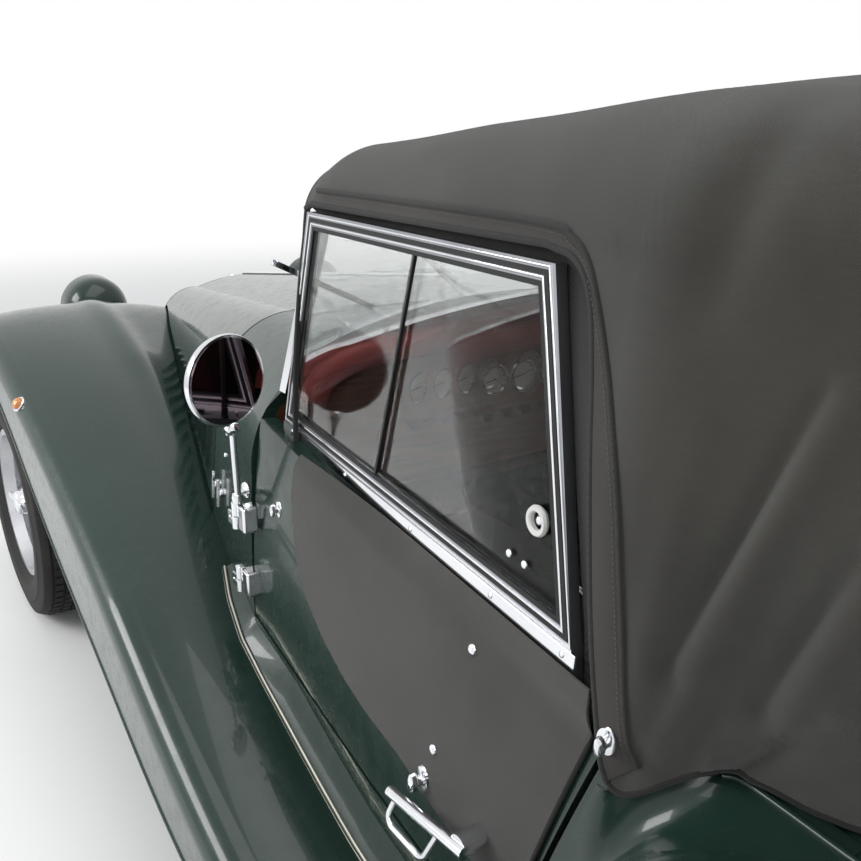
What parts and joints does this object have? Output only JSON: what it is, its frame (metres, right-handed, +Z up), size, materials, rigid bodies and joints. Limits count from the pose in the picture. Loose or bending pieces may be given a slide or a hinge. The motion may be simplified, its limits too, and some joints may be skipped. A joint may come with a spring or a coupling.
{
  "type": "open two-seater roadster",
  "caption": "Classic open two-seater roadster with separate swept wings, fabric hood up and side screens fitted.",
  "frame": {"origin": "on the ground under the middle of the overall length", "axes": "+Z up, -Y towards the car's front, +X towards its left side"},
  "size_m": [1.6026, 3.96, 1.3499],
  "materials": {
    "body_paint": "gloss dark green",
    "wing_paint": "gloss dark green",
    "chassis_paint": "satin black",
    "chrome": "polished",
    "steel": "dull",
    "iron": "rough",
    "cloth": "woven, matt",
    "hood_wood": "varnished",
    "glass": "clear",
    "lens": "clear",
    "leather": "grained dark red",
    "dash_wood": "varnished",
    "floor_board": "carpeted",
    "black_plastic": "satin black",
    "rubber": "matt"
  },
  "bodies": {
    "car_body": {"chassis_frame": "chassis_paint", "front_axle": "iron", "rear_axle": "iron", "engine_block": "iron", "exhaust": "steel", "fuel_tank": "chassis_paint", "floor_pan": "floor_board", "scuttle": "body_paint", "body_tub": "body_paint", "radiator_cowl": "body_paint", "grille_slats": "chrome", "front_wing_left": "wing_paint", "front_wing_right": "wing_paint", "rear_wing_left": "wing_paint", "rear_wing_right": "wing_paint", "lamps": "chrome", "lamp_lenses": "lens", "bumpers": "chrome", "mirrors": "chrome", "windscreen_frame": "chrome", "fixed_glass": "glass", "dashboard": "dash_wood", "seats": "leather", "hood_fabric": "cloth", "hood_frame": "hood_wood", "spare_wheel": "rubber"},
    "door_body_left": {"door_left": "body_paint", "door_handle_left": "chrome", "side_screen_left": "chrome", "side_panes_left": "glass", "door_flap_left": "cloth"},
    "bonnet_body_left": {"bonnet_left": "body_paint"},
    "knuckle_body_left": {"knuckle_left": "iron"},
    "front_wheel_left": {"wheel_front_left": "chrome", "tyre_front_left": "rubber"},
    "rear_wheel_left": {"wheel_rear_left": "chrome", "tyre_rear_left": "rubber"},
    "door_body_right": {"door_right": "body_paint", "door_handle_right": "chrome", "side_screen_right": "chrome", "side_panes_right": "glass", "door_flap_right": "cloth"},
    "bonnet_body_right": {"bonnet_right": "body_paint"},
    "knuckle_body_right": {"knuckle_right": "iron"},
    "front_wheel_right": {"wheel_front_right": "chrome", "tyre_front_right": "rubber"},
    "rear_wheel_right": {"wheel_rear_right": "chrome", "tyre_rear_right": "rubber"},
    "steering_body": {"steering_wheel": "black_plastic"}
  },
  "joints": [
    {"name": "door_left_hinge", "type": "hinge", "parent": "car_body", "child": "door_body_left", "pos_m": [0.606, -0.098, 0.655], "axis": [0, 0, -1], "range_deg": [0, 70]},
    {"name": "bonnet_left_hinge", "type": "hinge", "parent": "car_body", "child": "bonnet_body_left", "pos_m": [0.0103, -1.423, 0.8509], "axis": [0, -0.9916, -0.1296], "range_deg": [0, 60]},
    {"name": "steer_left", "type": "hinge", "parent": "car_body", "child": "knuckle_body_left", "pos_m": [0.52, -1.345, 0.315], "axis": [0, 0, 1], "range_deg": [-30, 30]},
    {"name": "front_wheel_left_spin", "type": "hinge", "parent": "knuckle_body_left", "child": "front_wheel_left", "pos_m": [0.655, -1.345, 0.315], "axis": [1, 0, 0], "continuous": true},
    {"name": "rear_wheel_left_spin", "type": "hinge", "parent": "car_body", "child": "rear_wheel_left", "pos_m": [0.665, 1.145, 0.315], "axis": [1, 0, 0], "continuous": true},
    {"name": "door_right_hinge", "type": "hinge", "parent": "car_body", "child": "door_body_right", "pos_m": [-0.606, -0.098, 0.655], "axis": [0, 0, 1], "range_deg": [0, 70]},
    {"name": "bonnet_right_hinge", "type": "hinge", "parent": "car_body", "child": "bonnet_body_right", "pos_m": [-0.0103, -1.423, 0.8509], "axis": [0, 0.9916, 0.1296], "range_deg": [0, 60]},
    {"name": "steer_right", "type": "hinge", "parent": "car_body", "child": "knuckle_body_right", "pos_m": [-0.52, -1.345, 0.315], "axis": [0, 0, 1], "range_deg": [-30, 30]},
    {"name": "front_wheel_right_spin", "type": "hinge", "parent": "knuckle_body_right", "child": "front_wheel_right", "pos_m": [-0.655, -1.345, 0.315], "axis": [1, 0, 0], "continuous": true},
    {"name": "rear_wheel_right_spin", "type": "hinge", "parent": "car_body", "child": "rear_wheel_right", "pos_m": [-0.665, 1.145, 0.315], "axis": [1, 0, 0], "continuous": true},
    {"name": "steering_wheel_turn", "type": "hinge", "parent": "car_body", "child": "steering_body", "pos_m": [-0.3, 0.165, 0.8], "axis": [0, 0.9272, 0.3746], "range_deg": [-420, 420]}
  ],
  "couplings": [
    {"joint": "steer_right", "follows": "steer_left", "ratio": 1},
    {"joint": "steering_wheel_turn", "follows": "steer_left", "ratio": 14}
  ]
}
